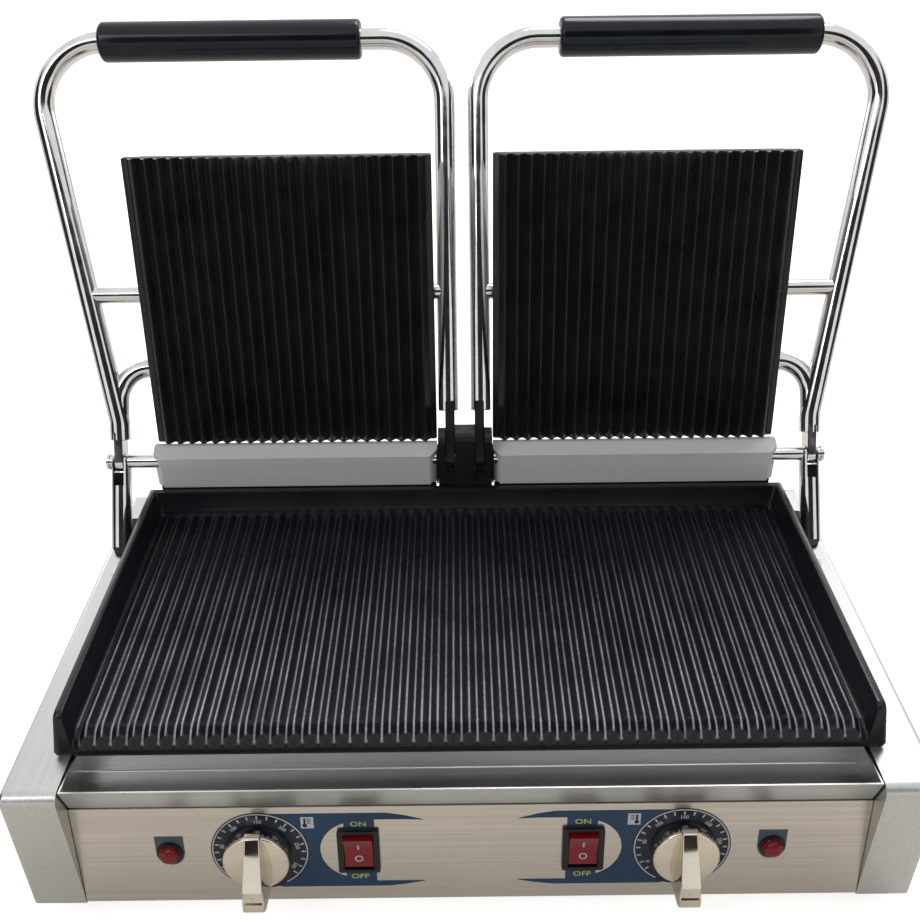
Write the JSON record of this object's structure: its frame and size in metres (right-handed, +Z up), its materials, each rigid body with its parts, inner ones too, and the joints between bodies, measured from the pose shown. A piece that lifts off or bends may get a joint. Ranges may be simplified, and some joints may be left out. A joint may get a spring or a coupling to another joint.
{
  "type": "contact grill",
  "caption": "Countertop contact grill with a wide ribbed lower plate and hinged ribbed lids that swing down on tube handles, with dials, rocker switches and a drip tray.",
  "frame": {"origin": "on the surface the feet stand on, under the middle of the open machine", "axes": "+X to the right seen from the front, +Y to the back, +Z up"},
  "size_m": [0.6282, 0.4512, 0.4528],
  "materials": {
    "stainless": "brushed",
    "chrome": "polished",
    "cast_iron": "satin black",
    "black_metal": "satin",
    "black_plastic": "matte",
    "red_plastic": "gloss",
    "red_lens": "gloss",
    "rubber": "matte",
    "insulation": "fibrous",
    "element": "satin",
    "zinc": "satin"
  },
  "bodies": {
    "base": {"base_pan": "stainless", "cable_gland": "black_plastic", "centre_hinge_bracket": "black_metal", "control_panel": "stainless", "deck_bolts": "chrome", "feet": "rubber", "heat_shield": "stainless", "heater_clamps": "stainless", "left_hinge_post": "chrome", "left_lamp_body": "black_plastic", "left_lamp_lens": "red_lens", "left_lower_heater": "element", "left_post_gasket": "rubber", "left_side_box": "stainless", "left_switch_frame": "black_plastic", "left_thermostat": "zinc", "lower_insulation": "insulation", "lower_plate": "cast_iron", "rear_deck": "stainless", "right_hinge_post": "chrome", "right_lamp_body": "black_plastic", "right_lamp_lens": "red_lens", "right_lower_heater": "element", "right_post_gasket": "rubber", "right_side_box": "stainless", "right_switch_frame": "black_plastic", "right_thermostat": "zinc", "terminal_block": "black_plastic"},
    "left_lid": {"left_handle_frame": "chrome", "left_grip": "black_plastic", "left_axle": "chrome", "left_hinge_cover": "stainless"},
    "left_press": {"left_upper_plate": "cast_iron", "left_lid_housing": "stainless", "left_upper_heater": "element", "left_upper_insulation": "insulation"},
    "left_dial": {"left_knob": "chrome", "left_knob_shaft": "zinc"},
    "left_switch": {"left_rocker": "red_plastic"},
    "right_lid": {"right_handle_frame": "chrome", "right_grip": "black_plastic", "right_axle": "chrome", "right_hinge_cover": "stainless"},
    "right_press": {"right_upper_plate": "cast_iron", "right_lid_housing": "stainless", "right_upper_heater": "element", "right_upper_insulation": "insulation"},
    "right_dial": {"right_knob": "chrome", "right_knob_shaft": "zinc"},
    "right_switch": {"right_rocker": "red_plastic"},
    "tray": {"drip_tray": "stainless"}
  },
  "joints": [
    {"name": "left_lid_hinge", "type": "hinge", "parent": "base", "child": "left_lid", "pos_m": [-0.15, 0.07112, 0.1648], "axis": [1, 0, 0], "range_deg": [0, 116.84]},
    {"name": "left_plate_swivel", "type": "hinge", "parent": "left_lid", "child": "left_press", "pos_m": [-0.12755, 0.12812, 0.276], "axis": [-1, 0, 0], "range_deg": [0, 17.14]},
    {"name": "left_dial_turn", "type": "hinge", "parent": "base", "child": "left_dial", "pos_m": [-0.127, -0.19595, 0.058], "axis": [0, 0.9884, -0.1521], "range_deg": [0, 270]},
    {"name": "left_switch_rock", "type": "hinge", "parent": "base", "child": "left_switch", "pos_m": [-0.067, -0.19447, 0.05777], "axis": [-1, 0, 0], "range_deg": [0, 16]},
    {"name": "right_lid_hinge", "type": "hinge", "parent": "base", "child": "right_lid", "pos_m": [0.15, 0.07112, 0.1648], "axis": [1, 0, 0], "range_deg": [0, 116.84]},
    {"name": "right_plate_swivel", "type": "hinge", "parent": "right_lid", "child": "right_press", "pos_m": [0.12755, 0.12812, 0.276], "axis": [-1, 0, 0], "range_deg": [0, 17.14]},
    {"name": "right_dial_turn", "type": "hinge", "parent": "base", "child": "right_dial", "pos_m": [0.127, -0.19595, 0.058], "axis": [0, 0.9884, -0.1521], "range_deg": [0, 270]},
    {"name": "right_switch_rock", "type": "hinge", "parent": "base", "child": "right_switch", "pos_m": [0.067, -0.19447, 0.05777], "axis": [-1, 0, 0], "range_deg": [0, 16]},
    {"name": "tray_slide", "type": "slide", "parent": "base", "child": "tray", "axis": [0, -1, 0], "range_m": [0, 0.09]}
  ],
  "couplings": [
    {"joint": "left_plate_swivel", "follows": "left_lid_hinge", "ratio": 0.1467},
    {"joint": "right_plate_swivel", "follows": "right_lid_hinge", "ratio": 0.1467}
  ]
}
